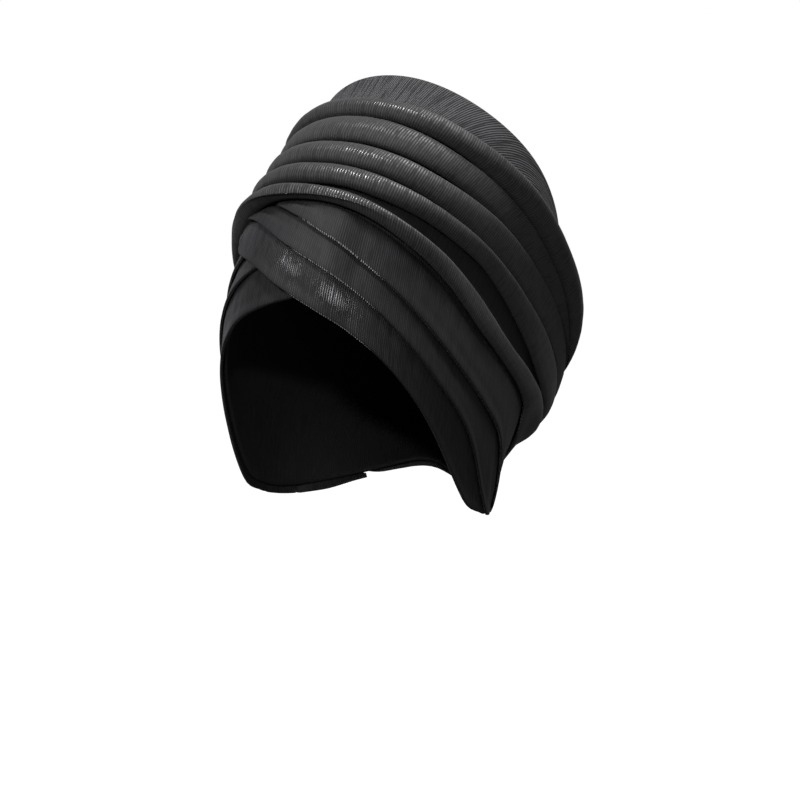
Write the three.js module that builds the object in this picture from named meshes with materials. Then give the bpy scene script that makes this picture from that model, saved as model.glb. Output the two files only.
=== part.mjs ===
// Turban headscarf: a ready wrapped head tie in stretch cloth.
// Millimetres, +Z up. The origin is the middle of the wearer's head at brow level, the face looks
// along -Y and +X is the wearer's left. A turn is an angle in degrees round the head: 0 at the front,
// 90 at the wearer's left ear. A rung is a height on the ladder of rings below: 0 is the hem and 8 is
// the rim of the crown.

import * as THREE from 'three';

// Reach of the wrap from the middle of the head
const FRONT_REACH = 95;
const BACK_REACH = 155;
const HALF_WIDTH = 80;
const CROWN_HEIGHT = 186;
const NAPE_DEPTH = 70;
const EAR_DROP = 45;

// Cloth
const CAP_WALL = 2;
const CROWN_WALL = 2;
const BAND_WALL = 1.1;
const BAND_FOLD = 2.0;
const ROLL_HEIGHT = 8.6;
const BACK_ROLL_SHARE = 0.64;
const CROWN_DOME = 13;

// How the pieces lie on each other
const SEAT_GAP = 0.5;
const NAPE_EASE = 0.5;
const LAYER_GAP = 0.35;
const CROWN_GAP = 0.6;
const CREASE_GAP = 0.5;
const BAND_TUCK = 5;
const FOLD_NOSE = 1;
const NOSE_LIFT_SHARE = 0.25;
const NOSE_WALL_SHARE = 0.45;
const SETTLE_WIDTH = 4;
const LEAST_WIDTH = 2;
const CAP_SETBACK = 5;
const CROSSING_LIFT = 4.0;
const END_LIFT = 3.2;
const CROWN_ROLL_SWELL = 5.0;

// Turns between which the pieces change how they lie
const NAPE_EASES = { from: 90, to: 105 };
const CROSSING_ENDS = { from: 12, to: 26 };
const ROLL_5_CLIMBS = { from: -72, to: -46 };
const ROLL_5_SETTLES = { from: -12, to: 8 };
const CAP_FRONT_TURN = 4;

// Facets round the head, and the rung where the cap hands over to the crown
const COLUMNS = 48;
const CAP_TOP_RUNG = 6.85;
const RIM_RUNG = 8;

// The rings from the hem to the rim. front is a share of the front reach, back and ear are shares of
// the back reach (ear is where the ring is widest), rise and fall are shares of the crown height and
// the nape depth, side is a share of the half width and sag a share of the ear drop. skew moves the
// sag to the back, full below 1 squares the ring and pinch narrows it behind the ears.
const RINGS = [
  { front: 1.00, ear: -0.03, back: 0.40, rise: 0.02, fall: 0.81,
    side: 0.975, sag: 1.00, skew: -0.10, full: 0.92, pinch: 0.62 },
  { front: 0.95, ear: 0.00, back: 0.50, rise: 0.335, fall: 0.78,
    side: 1.02, sag: 0.60, skew: 0.05, full: 0.88, pinch: 0.35 },
  { front: 0.71, ear: 0.10, back: 0.64, rise: 0.60, fall: 0.70,
    side: 1.00, sag: 0.40, skew: 0.00, full: 0.88, pinch: 0.10 },
  { front: 0.67, ear: 0.205, back: 0.82, rise: 0.65, fall: 0.64,
    side: 0.95, sag: 0.22, skew: 0.20, full: 0.85, pinch: 0.00 },
  { front: 0.53, ear: 0.31, back: 0.95, rise: 0.715, fall: 0.61,
    side: 0.955, sag: -0.18, skew: 0.50, full: 0.90, pinch: 0.00 },
  { front: 0.36, ear: 0.39, back: 1.00, rise: 0.78, fall: 0.54,
    side: 0.965, sag: -0.35, skew: 0.70, full: 0.90, pinch: 0.00 },
  { front: 0.13, ear: 0.46, back: 1.00, rise: 0.855, fall: 0.44,
    side: 0.99, sag: -0.31, skew: 0.60, full: 0.93, pinch: 0.00 },
  { front: -0.01, ear: 0.49, back: 0.975, rise: 0.915, fall: 0.32,
    side: 1.04, sag: -0.34, skew: 0.50, full: 0.94, pinch: 0.00 },
  { front: -0.23, ear: 0.515, back: 0.89, rise: 1.00, fall: -0.04,
    side: 1.00, sag: -0.47, skew: 0.77, full: 0.96, pinch: 0.00 },
];

// Fold lines on the wearer's left, as rungs. The right side mirrors them.
const LEFT_HAIRLINE = [
  { turn: -34, rung: 1.95 },
  { turn: -33, rung: 1.72 },
  { turn: -30, rung: 1.56 },
  { turn: -12, rung: 1.25 },
  { turn: -4, rung: 1.09 },
  { turn: 4, rung: 0.95 },
  { turn: 14, rung: 0.86 },
];
const RIGHT_HAIRLINE = [
  { turn: -12, rung: 1.07 },
  { turn: -4, rung: 0.96 },
  { turn: 4, rung: 0.88 },
  { turn: 14, rung: 0.83 },
];
const EAR_HAIRLINE = [
  { turn: 24, rung: 0.81 },
  { turn: 39, rung: 0.75 },
  { turn: 48, rung: 0.69 },
  { turn: 56, rung: 0.61 },
  { turn: 65, rung: 0.46 },
  { turn: 75, rung: 0.20 },
  { turn: 83, rung: 0.00 },
  { turn: 180, rung: 0.00 },
];
const LOWER_FOLD = [
  { turn: -34, rung: 2.05 },
  { turn: -26, rung: 1.95 },
  { turn: -5, rung: 1.50 },
  { turn: 4, rung: 1.35 },
  { turn: 14, rung: 1.26 },
  { turn: 36, rung: 1.15 },
  { turn: 54, rung: 1.04 },
  { turn: 74, rung: 0.86 },
  { turn: 82, rung: 0.70 },
  { turn: 88, rung: 0.35 },
  { turn: 91, rung: 0.00 },
  { turn: 180, rung: 0.00 },
];
const UPPER_FOLD = [
  { turn: -34, rung: 2.08 },
  { turn: -12, rung: 2.00 },
  { turn: 0, rung: 1.75 },
  { turn: 9, rung: 1.61 },
  { turn: 26, rung: 1.50 },
  { turn: 52, rung: 1.40 },
  { turn: 84, rung: 1.25 },
  { turn: 96, rung: 1.12 },
  { turn: 102, rung: 0.80 },
  { turn: 107, rung: 0.00 },
  { turn: 124, rung: 0.00 },
  { turn: 140, rung: 0.14 },
  { turn: 180, rung: 0.14 },
];
const ROLL_5_LOWER = [
  { turn: 0, rung: 2.06 },
  { turn: 40, rung: 2.06 },
  { turn: 56, rung: 2.10 },
  { turn: 78, rung: 2.02 },
  { turn: 97, rung: 2.25 },
  { turn: 112, rung: 2.25 },
  { turn: 120, rung: 1.60 },
  { turn: 128, rung: 0.95 },
  { turn: 136, rung: 0.40 },
  { turn: 146, rung: 0.12 },
  { turn: 180, rung: 0.10 },
];
const ROLL_5_LOWER_RIGHT = [
  { turn: 0, rung: 2.06 },
  { turn: 24, rung: 2.08 },
  { turn: 36, rung: 1.97 },
  { turn: 48, rung: 1.85 },
  { turn: 62, rung: 1.88 },
  { turn: 78, rung: 1.98 },
  { turn: 97, rung: 2.22 },
  { turn: 112, rung: 2.25 },
  { turn: 120, rung: 1.60 },
  { turn: 128, rung: 0.95 },
  { turn: 136, rung: 0.40 },
  { turn: 146, rung: 0.12 },
  { turn: 180, rung: 0.10 },
];
const ROLL_5_UPPER = [
  { turn: 0, rung: 3.10 },
  { turn: 38, rung: 3.00 },
  { turn: 56, rung: 3.02 },
  { turn: 76, rung: 2.75 },
  { turn: 87, rung: 2.68 },
  { turn: 97, rung: 2.90 },
  { turn: 114, rung: 3.08 },
  { turn: 180, rung: 3.00 },
];
const ROLL_4_LOWER = [
  { turn: 0, rung: 3.13 },
  { turn: 27, rung: 3.20 },
  { turn: 46, rung: 3.40 },
  { turn: 72, rung: 3.58 },
  { turn: 88, rung: 3.48 },
  { turn: 107, rung: 3.25 },
  { turn: 180, rung: 3.06 },
];

// Outside of a padded roll from its lower foot round to its upper edge. along runs from the lower line
// (0) to the upper line (1), and out is a share of the roll height.
const ROLL_OUTSIDE = [
  { along: 0.05, out: 0.28 },
  { along: 0.02, out: 0.58 },
  { along: 0.14, out: 0.86 },
  { along: 0.40, out: 1.00 },
  { along: 0.68, out: 0.88 },
  { along: 0.90, out: 0.58 },
  { along: 0.99, out: 0.20 },
];
// Where a roll's flat underside touches the cap, from its upper edge back to its lower foot
const ROLL_SEAT = [1.00, 0.60, 0.18];
const ROLL_5_SEAT = [1.00, 0.82, 0.66, 0.50, 0.34, 0.18];

// Rows of the crown's top from its rim to its middle: in is the share of the way in, and up a share of
// the dome
const CROWN_ROWS = [
  { in: 0.05, up: 0.30 },
  { in: 0.18, up: 0.60 },
  { in: 0.50, up: 0.90 },
];
const CROWN_WALL_ROWS = [7.35, RIM_RUNG];

// Rows of the cap between its hem and its first rung above the bands, as shares of that height
const CAP_LOW_OUTSIDE = [0, 1 / 3, 2 / 3];
const CAP_LOW_INSIDE = [0, 0.5];

// Rungs of the cap's rows above the bands, outside and inside
const CAP_OUTSIDE = [2, 2.25, 2.5, 3, 3.5, 4, 4.5, 5, 5.5, 6, 6.45, CAP_TOP_RUNG];
const CAP_INSIDE = [2, 3, 4, 5, 6, CAP_TOP_RUNG];

// Rises smoothly from 0 to 1 over a range of turns
function smoothstep({ from, to }, turn) {
  const t = THREE.MathUtils.clamp((turn - from) / (to - from), 0, 1);
  return t * t * (3 - 2 * t);
}

// Catmull-Rom through equally spaced values
function spline(values, x) {
  const i = Math.min(values.length - 2, Math.max(0, Math.floor(x)));
  const t = x - i;
  const b = values[i];
  const c = values[i + 1];
  const a = i > 0 ? values[i - 1] : 2 * b - c;
  const d = i + 2 < values.length ? values[i + 2] : 2 * c - b;
  const square = 2 * a - 5 * b + 4 * c - d;
  const cube = 3 * b - a - 3 * c + d;
  return 0.5 * (2 * b + (c - a) * t + square * t * t + cube * t * t * t);
}

// A fold line's rung at a turn, straight between its rows
function rungAt(line, turn) {
  const last = line.length - 1;
  if (turn <= line[0].turn) return line[0].rung;
  if (turn >= line[last].turn) return line[last].rung;
  const i = line.findIndex((row) => row.turn > turn) - 1;
  const share = (turn - line[i].turn) / (line[i + 1].turn - line[i].turn);
  return THREE.MathUtils.lerp(line[i].rung, line[i + 1].rung, share);
}

const ringColumn = (name) => RINGS.map((ring) => ring[name]);
const COLUMN = {
  front: ringColumn('front'),
  rise: ringColumn('rise'),
  back: ringColumn('back'),
  fall: ringColumn('fall'),
  side: ringColumn('side'),
  sag: ringColumn('sag'),
  skew: ringColumn('skew'),
  full: ringColumn('full'),
  ear: ringColumn('ear'),
  pinch: ringColumn('pinch'),
};

// The outside of the cap and of the crown's wall
function bodyPoint(turn, rung) {
  const angle = THREE.MathUtils.degToRad(turn);
  const cosine = Math.cos(angle);
  const sine = Math.sin(angle);
  const full = spline(COLUMN.full, rung);
  const ahead = Math.sign(cosine) * Math.abs(cosine) ** full;
  const aside = Math.sign(sine) * Math.abs(sine) ** full;
  const frontY = -FRONT_REACH * spline(COLUMN.front, rung);
  const earY = BACK_REACH * spline(COLUMN.ear, rung);
  const backY = BACK_REACH * spline(COLUMN.back, rung);
  const behind = Math.min(0, cosine);
  const narrow = 1 - spline(COLUMN.pinch, rung) * behind * behind;
  const frontZ = CROWN_HEIGHT * spline(COLUMN.rise, rung);
  const backZ = -NAPE_DEPTH * spline(COLUMN.fall, rung);
  const leaning = 1 - spline(COLUMN.skew, rung) * cosine;
  const sag = EAR_DROP * spline(COLUMN.sag, rung) * sine * sine * leaning;
  return new THREE.Vector3(
    HALF_WIDTH * spline(COLUMN.side, rung) * narrow * aside,
    earY - (ahead > 0 ? earY - frontY : backY - earY) * ahead,
    (frontZ + backZ) / 2 + ((frontZ - backZ) / 2) * ahead - sag,
  );
}

// The dome continues the body past the rim: place runs from RIM_RUNG to RIM_RUNG + 1
function shellPoint(turn, place) {
  if (place <= RIM_RUNG) return bodyPoint(turn, place);
  const front = bodyPoint(0, RIM_RUNG);
  const back = bodyPoint(180, RIM_RUNG);
  const middle = front.clone().add(back).multiplyScalar(0.5);
  const along = back.clone().sub(front).normalize();
  const upward = new THREE.Vector3(1, 0, 0).cross(along);
  const inward = place - RIM_RUNG;
  const rows = [{ in: 0, up: 0 }, ...CROWN_ROWS, { in: 1, up: 1 }];
  const i = Math.min(rows.length - 2, rows.findLastIndex((row) => row.in <= inward));
  const share = (inward - rows[i].in) / (rows[i + 1].in - rows[i].in);
  const up = THREE.MathUtils.lerp(rows[i].up, rows[i + 1].up, share);
  return bodyPoint(turn, RIM_RUNG).lerp(middle, inward).addScaledVector(upward, up * CROWN_DOME);
}

const NORMAL_STEP = 0.01;

// A point that stands off the shell by a distance
function lifted(turn, place, distance) {
  const across = shellPoint(turn + 1, place).sub(shellPoint(turn - 1, place));
  const climb = shellPoint(turn, place + NORMAL_STEP).sub(shellPoint(turn, place - NORMAL_STEP));
  const normal = across.cross(climb).normalize();
  return shellPoint(turn, place).addScaledVector(normal, distance);
}

// Rungs for one millimetre of cloth, measured square to the rings
function rungsPerMillimetre(turn, rung) {
  const across = bodyPoint(turn + 1, rung).sub(bodyPoint(turn - 1, rung)).normalize();
  const climb = bodyPoint(turn, rung + NORMAL_STEP).sub(bodyPoint(turn, rung - NORMAL_STEP));
  climb.addScaledVector(across, -climb.dot(across));
  return (2 * NORMAL_STEP) / climb.length();
}

// Sections joined into one closed solid. Each section is a ring of points, and the last joins the
// first when the solid goes right round. An open solid's ends are closed between paired points.
function joinSections(sections, goesRound) {
  const size = sections[0].length;
  const vertices = sections.flat();
  const faces = [];
  const index = (i, j) => (i % sections.length) * size + (j % size);
  const quad = (a, b, c, d) => faces.push([a, b, c], [a, c, d]);
  const spans = goesRound ? sections.length : sections.length - 1;
  for (let i = 0; i < spans; i += 1) {
    for (let j = 0; j < size; j += 1) {
      quad(index(i, j), index(i, j + 1), index(i + 1, j + 1), index(i + 1, j));
    }
  }
  if (!goesRound) {
    const end = sections.length - 1;
    for (let j = 0; j < size / 2 - 1; j += 1) {
      const k = size - 1 - j;
      quad(index(0, j), index(0, k), index(0, k - 1), index(0, j + 1));
      quad(index(end, j), index(end, j + 1), index(end, k - 1), index(end, k));
    }
  }
  return closedGeometry(vertices, faces);
}

// Six times the volume that the faces enclose, negative when they point inwards
function signedVolume(vertices, faces) {
  const normal = new THREE.Vector3();
  const part = ([a, b, c]) => vertices[a].dot(normal.crossVectors(vertices[b], vertices[c]));
  return faces.reduce((sum, face) => sum + part(face), 0);
}

function closedGeometry(vertices, faces) {
  const outward = signedVolume(vertices, faces) > 0;
  const turned = faces.map(([a, b, c]) => (outward ? [a, b, c] : [a, c, b]));
  const geometry = new THREE.BufferGeometry();
  const positions = new Float32Array(vertices.flatMap((point) => point.toArray()));
  geometry.setAttribute('position', new THREE.BufferAttribute(positions, 3));
  geometry.setIndex(turned.flat());
  geometry.computeVertexNormals();
  return geometry;
}

const COLUMN_STEP = 360 / COLUMNS;
const ROUND_TURNS = Array.from({ length: COLUMNS }, (_, i) => -180 + COLUMN_STEP * i);
// The same turns, twice as close where roll 5 runs down to the nape
const NAPE_TURNS = ROUND_TURNS.flatMap((turn) => {
  const between = Math.abs(turn + COLUMN_STEP / 2);
  return between > 100 && between < 150 ? [turn, turn + COLUMN_STEP / 2] : [turn];
});

// The hem that both sides share: the hairline on each side of the face and the hem behind the ears
const LEFT_HEM = [...LEFT_HAIRLINE, ...EAR_HAIRLINE];
const RIGHT_HEM = [...RIGHT_HAIRLINE, ...EAR_HAIRLINE];

function capHem(turn) {
  const hem = turn > 0 ? rungAt(LEFT_HEM, Math.max(turn, CAP_FRONT_TURN)) : rungAt(RIGHT_HEM, -turn);
  return hem + CAP_SETBACK * rungsPerMillimetre(turn, hem);
}

// The cap is a thin tube from its hem up to the crown
function cap() {
  const sections = ROUND_TURNS.map((turn) => {
    const hem = capHem(turn);
    const low = (share) => THREE.MathUtils.lerp(hem, CAP_OUTSIDE[0], share);
    const outside = [...CAP_LOW_OUTSIDE.map(low), ...CAP_OUTSIDE];
    const inside = [...CAP_LOW_INSIDE.map(low), ...CAP_INSIDE].reverse();
    return [
      ...outside.map((rung) => lifted(turn, rung, 0)),
      ...inside.map((rung) => lifted(turn, rung, -CAP_WALL)),
    ];
  });
  return joinSections(sections, true);
}

// The crown is a thin cup: a short wall from the cap to the rim and a low dome over it
function crownTop() {
  const foot = (turn) => CAP_TOP_RUNG + CROWN_GAP * rungsPerMillimetre(turn, CAP_TOP_RUNG);
  const upperRows = [...CROWN_WALL_ROWS, ...CROWN_ROWS.map((row) => RIM_RUNG + row.in)];
  const places = [foot, ...upperRows.map((place) => () => place)];
  const vertices = [];
  const faces = [];
  for (const depth of [0, -CROWN_WALL]) {
    for (const place of places) {
      vertices.push(...ROUND_TURNS.map((turn) => lifted(turn, place(turn), depth)));
    }
  }
  const inner = places.length;
  const last = inner - 1;
  const index = (row, i) => row * COLUMNS + (i % COLUMNS);
  const quad = (a, b, c, d) => faces.push([a, b, c], [a, c, d]);
  const topOutside = vertices.push(lifted(0, RIM_RUNG + 1 - NORMAL_STEP, 0)) - 1;
  const topInside = vertices.push(lifted(0, RIM_RUNG + 1 - NORMAL_STEP, -CROWN_WALL)) - 1;
  for (let i = 0; i < COLUMNS; i += 1) {
    for (let row = 0; row < last; row += 1) {
      const under = inner + row;
      quad(index(row, i), index(row, i + 1), index(row + 1, i + 1), index(row + 1, i));
      quad(index(under, i), index(under + 1, i), index(under + 1, i + 1), index(under, i + 1));
    }
    quad(index(0, i + 1), index(0, i), index(inner, i), index(inner, i + 1));
    faces.push([index(last, i), index(last, i + 1), topOutside]);
    faces.push([index(inner + last, i + 1), index(inner + last, i), topInside]);
  }
  return closedGeometry(vertices, faces);
}

// The pieces sit a little looser behind the ears, where the cap bends most
const seatGap = (turn) => SEAT_GAP + NAPE_EASE * smoothstep(NAPE_EASES, Math.abs(turn));

// A roll lies between two lines, lower at the back of the head, where all the rolls are drawn together
function roll(lowerRung, upperRung, liftAt, seat, turns = ROUND_TURNS) {
  const sections = turns.map((turn) => {
    const low = lowerRung(turn);
    const high = upperRung(turn);
    const frontness = (1 + Math.cos(THREE.MathUtils.degToRad(turn))) / 2;
    const height = ROLL_HEIGHT * THREE.MathUtils.lerp(BACK_ROLL_SHARE, 1, frontness) + liftAt(turn);
    const at = (along, out) => lifted(turn, THREE.MathUtils.lerp(low, high, along), seatGap(turn) + out);
    const outside = ROLL_OUTSIDE.map((row) => at(row.along, row.out * height));
    return [...outside, ...seat.map((along) => at(along, 0))];
  });
  return joinSections(sections, true);
}

// Turns of a band's sections: the head's own columns, twice as close where the folds turn down behind
// the ear
const CLOSE_FROM = 75;

function bandTurns(start, end) {
  const turns = [start];
  for (let i = Math.floor(start / COLUMN_STEP) + 1; i * COLUMN_STEP < end; i += 1) {
    const turn = i * COLUMN_STEP;
    if (turn - turns[turns.length - 1] > 1) turns.push(turn);
    if (turn > CLOSE_FROM && turn + COLUMN_STEP / 2 < end) turns.push(turn + COLUMN_STEP / 2);
  }
  turns.push(end);
  return turns;
}

// Roll 5's lower line hangs a little lower on the wearer's right
const roll5Lower = (turn) => rungAt(turn < 0 ? ROLL_5_LOWER_RIGHT : ROLL_5_LOWER, Math.abs(turn));

// How many times the crease gap is measured up the body where roll 5's lower line runs steeply
function creaseSlant(turn, scale) {
  const across = bodyPoint(turn, 1).distanceTo(bodyPoint(turn + 1, 1));
  const climb = (roll5Lower(turn + 1) - roll5Lower(turn - 1)) / 2 / scale;
  return Math.hypot(1, climb / across);
}

// A band lies between its lower fold and the piece above, whose fold covers its upper edge
function band({ side, start, end, lower, upper, tuckAt, baseAt, coversAt }) {
  const sections = bandTurns(start, end).map((turn) => {
    const low = rungAt(lower, turn);
    const scale = rungsPerMillimetre(turn, (low + rungAt(upper, turn)) / 2);
    const ceiling = roll5Lower(side * turn) - CREASE_GAP * creaseSlant(side * turn, scale) * scale;
    const tucked = rungAt(upper, turn) + tuckAt(turn) * scale;
    const high = Math.max(Math.min(tucked, ceiling), low + LEAST_WIDTH * scale);
    const width = (high - low) / scale;
    const base = baseAt(turn);
    const raised = base + coversAt(turn) * (BAND_WALL + LAYER_GAP);
    const squeeze = Math.min(1, width / (2 * BAND_TUCK));
    const step = squeeze * (BAND_TUCK + 1);
    const settled = squeeze * (BAND_TUCK + SETTLE_WIDTH);
    const steps = [0, FOLD_NOSE * squeeze, step, settled, (settled + width) / 2, width];
    const nose = raised + NOSE_LIFT_SHARE * BAND_FOLD;
    const bottoms = [nose, raised, raised, base, base, base];
    const walls = [NOSE_WALL_SHARE * BAND_FOLD, BAND_FOLD, BAND_WALL, BAND_WALL, BAND_WALL, BAND_WALL];
    const at = (i, out) => lifted(side * turn, low + steps[i] * scale, out);
    const outside = bottoms.map((bottom, i) => at(i, bottom + walls[i]));
    const inside = bottoms.map((bottom, i) => at(i, bottom)).reverse();
    return [...outside, ...inside];
  });
  return joinSections(sections, false);
}

function cloth(color, roughness) {
  return new THREE.MeshStandardMaterial({ color, roughness, metalness: 0 });
}

function named(name, geometry, material) {
  const mesh = new THREE.Mesh(geometry, material);
  mesh.name = name;
  return mesh;
}

const on = (line) => (turn) => rungAt(line, Math.abs(turn));
const level = (rung) => () => rung;
const none = () => 0;
const swell = (turn) => CROWN_ROLL_SWELL * Math.sin(THREE.MathUtils.degToRad(turn)) ** 2;

// Roll 5 passes over the ends of the left bands, on the wearer's right of the forehead
function overBandEnds(turn) {
  return END_LIFT * (smoothstep(ROLL_5_CLIMBS, turn) - smoothstep(ROLL_5_SETTLES, turn));
}

// The left pieces climb over the right ones where they cross the forehead
const leftBase = (turn) => seatGap(turn) + CROSSING_LIFT * (1 - smoothstep(CROSSING_ENDS, turn));

const ROLLS = [
  { name: 'roll_1', lower: level(6), upper: level(7), lift: swell },
  { name: 'roll_2', lower: level(5), upper: level(6), lift: none },
  { name: 'roll_3', lower: level(4), upper: level(5), lift: none },
  { name: 'roll_4', lower: on(ROLL_4_LOWER), upper: level(4), lift: none },
];
const ROLL_5 = { lower: roll5Lower, upper: on(ROLL_5_UPPER), lift: overBandEnds };

// The three layers of a side, from the lowest up. end is the turn where the piece ends behind the ear,
// tucks and covers are the turns over which its upper edge slips under the next piece and its lower
// fold stops riding on the one below.
const LAYERS = [
  {
    name: 'band_lower',
    lower: null,
    upper: LOWER_FOLD,
    end: 90,
    tucks: { from: -27, to: -12 },
    covers: null,
  },
  {
    name: 'band_upper',
    lower: LOWER_FOLD,
    upper: UPPER_FOLD,
    end: 106,
    tucks: { from: -9, to: 6 },
    covers: { from: 93, to: 100 },
  },
  {
    name: 'panel',
    lower: UPPER_FOLD,
    upper: ROLL_5_LOWER,
    end: 140,
    tucks: null,
    covers: { from: 109, to: 116 },
  },
];
const SIDES = [
  { name: 'left', side: 1, hem: LEFT_HEM, baseAt: leftBase, starts: [-34, -26, -9] },
  { name: 'right', side: -1, hem: RIGHT_HEM, baseAt: seatGap, starts: [-10, 2, 15] },
];

const group = new THREE.Group();
group.add(named('cap', cap(), cloth(0x1b1b1e, 0.85)));
group.add(named('crown_top', crownTop(), cloth(0x2c2c30, 0.8)));

for (const { name, lower, upper, lift } of ROLLS) {
  group.add(named(name, roll(lower, upper, lift, ROLL_SEAT, ROUND_TURNS), cloth(0x17171a, 0.45)));
}
const roll5 = roll(ROLL_5.lower, ROLL_5.upper, ROLL_5.lift, ROLL_5_SEAT, NAPE_TURNS);
group.add(named('roll_5', roll5, cloth(0x17171a, 0.45)));

for (const { name, side, hem, baseAt, starts } of SIDES) {
  LAYERS.forEach((layer, i) => {
    const geometry = band({
      side,
      start: starts[i],
      end: layer.end,
      lower: layer.lower ?? hem,
      upper: layer.upper,
      tuckAt: (turn) => (layer.tucks ? BAND_TUCK * smoothstep(layer.tucks, turn) : 0),
      baseAt,
      coversAt: (turn) => (layer.covers ? 1 - smoothstep(layer.covers, turn) : 0),
    });
    group.add(named(`${name}_${layer.name}`, geometry, cloth(0x141417, 0.6)));
  });
}

export default group;
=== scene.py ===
"""A black turban headscarf, ready wrapped: cap, tilted crown, padded rolls and crossed forehead bands.

Lengths are metres. A turn is an angle in degrees round the head, 0 at the front and 90 at the wearer's
left ear. A rung is a height on a ladder of nine rings, 0 at the hem and 8 at the rim of the crown.
"""

import logging
import math
from collections.abc import Callable
from dataclasses import dataclass
from enum import Enum
from functools import partial

import bpy
import numpy as np
from mathutils import Matrix, Vector


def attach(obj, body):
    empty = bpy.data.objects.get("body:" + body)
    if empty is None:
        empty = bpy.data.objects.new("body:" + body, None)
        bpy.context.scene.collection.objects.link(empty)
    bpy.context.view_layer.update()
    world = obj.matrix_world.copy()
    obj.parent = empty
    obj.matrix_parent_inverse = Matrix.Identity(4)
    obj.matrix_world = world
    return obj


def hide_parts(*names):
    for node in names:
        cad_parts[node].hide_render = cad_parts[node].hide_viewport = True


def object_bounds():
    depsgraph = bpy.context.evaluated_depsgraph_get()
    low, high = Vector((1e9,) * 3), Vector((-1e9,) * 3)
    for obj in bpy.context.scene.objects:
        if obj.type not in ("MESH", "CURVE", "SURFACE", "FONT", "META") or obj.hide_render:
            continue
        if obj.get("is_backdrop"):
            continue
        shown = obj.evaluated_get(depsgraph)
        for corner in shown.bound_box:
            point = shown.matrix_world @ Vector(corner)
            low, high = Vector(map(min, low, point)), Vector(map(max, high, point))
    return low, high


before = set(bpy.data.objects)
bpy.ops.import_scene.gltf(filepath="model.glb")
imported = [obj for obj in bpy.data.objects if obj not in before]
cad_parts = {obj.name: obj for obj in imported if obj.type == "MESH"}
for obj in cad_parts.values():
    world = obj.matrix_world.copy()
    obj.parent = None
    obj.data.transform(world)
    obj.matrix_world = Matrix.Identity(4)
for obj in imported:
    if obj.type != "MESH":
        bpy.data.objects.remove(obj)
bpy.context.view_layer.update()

LOG = logging.getLogger("turban")
MM = 0.001
UV_SPAN = 0.1  # metres in one unit of a piece's UV map, so ribs and threads keep their real size

Graph, Node, Socket, Object = bpy.types.NodeTree, bpy.types.Node, bpy.types.NodeSocket, bpy.types.Object
Grid = np.ndarray
Pair = tuple[float, float]
Colour = tuple[float, float, float]
Rows = tuple[Pair, ...]
Line = Callable[[Grid], Grid]  # a rung, or a height in metres, at each turn

WHITE = (1, 1, 1, 1)

# The cloth's wave texture, one wave a unit: how far its lines wander, and how finely
WAVES = {"Scale": math.tau / 20, "Distortion": 3.2, "Detail": 2.0, "Detail Scale": 0.45}

# Noise that counts as nothing and as full, for the rise of a rib and for worn patches
STREAK_RANGE = (0.32, 0.62)
PATCH_RANGE = (0.35, 0.65)
LEAST_RISE = 0.35  # height that a faded rib keeps
TOP_RANGE = (0.25, 0.62)  # heights of a rib's flank, from its foot to its polished top

# The rings of the wrap from the hem to the rim, as shares of the reaches in Ladder
RINGS = {
    "front": (1.00, 0.95, 0.71, 0.67, 0.53, 0.36, 0.13, -0.01, -0.23),
    "ear": (-0.03, 0.00, 0.10, 0.205, 0.31, 0.39, 0.46, 0.49, 0.515),
    "back": (0.40, 0.50, 0.64, 0.82, 0.95, 1.00, 1.00, 0.975, 0.89),
    "rise": (0.02, 0.335, 0.60, 0.65, 0.715, 0.78, 0.855, 0.915, 1.00),
    "fall": (0.81, 0.78, 0.70, 0.64, 0.61, 0.54, 0.44, 0.32, -0.04),
    "side": (0.975, 1.02, 1.00, 0.95, 0.955, 0.965, 0.99, 1.04, 1.00),
    "sag": (1.00, 0.60, 0.40, 0.22, -0.18, -0.35, -0.31, -0.34, -0.47),
    "skew": (-0.10, 0.05, 0.00, 0.20, 0.50, 0.70, 0.60, 0.50, 0.77),
    "full": (0.92, 0.88, 0.88, 0.85, 0.90, 0.90, 0.93, 0.94, 0.96),
    "pinch": (0.62, 0.35, 0.10, 0.00, 0.00, 0.00, 0.00, 0.00, 0.00),
}
RIM = 8.0
CAP_TOP = 6.85

# Fold lines as (turn, rung)
LEFT_HAIRLINE = ((-34, 1.95), (-33, 1.72), (-30, 1.56), (-12, 1.25), (-4, 1.09), (4, 0.95), (14, 0.86))
RIGHT_HAIRLINE = ((-12, 1.07), (-4, 0.96), (4, 0.88), (14, 0.83))
EAR_HAIRLINE = ((24, 0.81), (39, 0.75), (48, 0.69), (56, 0.61), (65, 0.46), (75, 0.20), (83, 0), (180, 0))
LOWER_FOLD = (
    (-34, 2.05), (-26, 1.95), (-5, 1.50), (4, 1.35), (14, 1.26), (36, 1.15), (54, 1.04), (74, 0.86),
    (82, 0.70), (88, 0.35), (91, 0), (180, 0),
)
UPPER_FOLD = (
    (-34, 2.08), (-12, 2.00), (0, 1.75), (9, 1.61), (26, 1.50), (52, 1.40), (84, 1.25), (96, 1.12),
    (102, 0.80), (107, 0), (124, 0), (140, 0.14), (180, 0.14),
)
ROLL_5_NAPE = ((97, 2.23), (112, 2.25), (120, 1.60), (128, 0.95), (136, 0.40), (146, 0.12), (180, 0.10))
ROLL_5_LOWER = ((0, 2.06), (40, 2.06), (56, 2.10), (78, 2.02), *ROLL_5_NAPE)
ROLL_5_LOWER_RIGHT = ((0, 2.06), (24, 2.08), (36, 1.97), (48, 1.85), (62, 1.88), (78, 1.98), *ROLL_5_NAPE)
ROLL_5_UPPER = (
    (0, 3.10), (38, 3.00), (56, 3.02), (76, 2.75), (87, 2.68), (97, 2.90), (114, 3.08), (180, 3.00),
)
ROLL_4_LOWER = ((0, 3.13), (27, 3.20), (46, 3.40), (72, 3.58), (88, 3.48), (107, 3.25), (180, 3.06))

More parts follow.
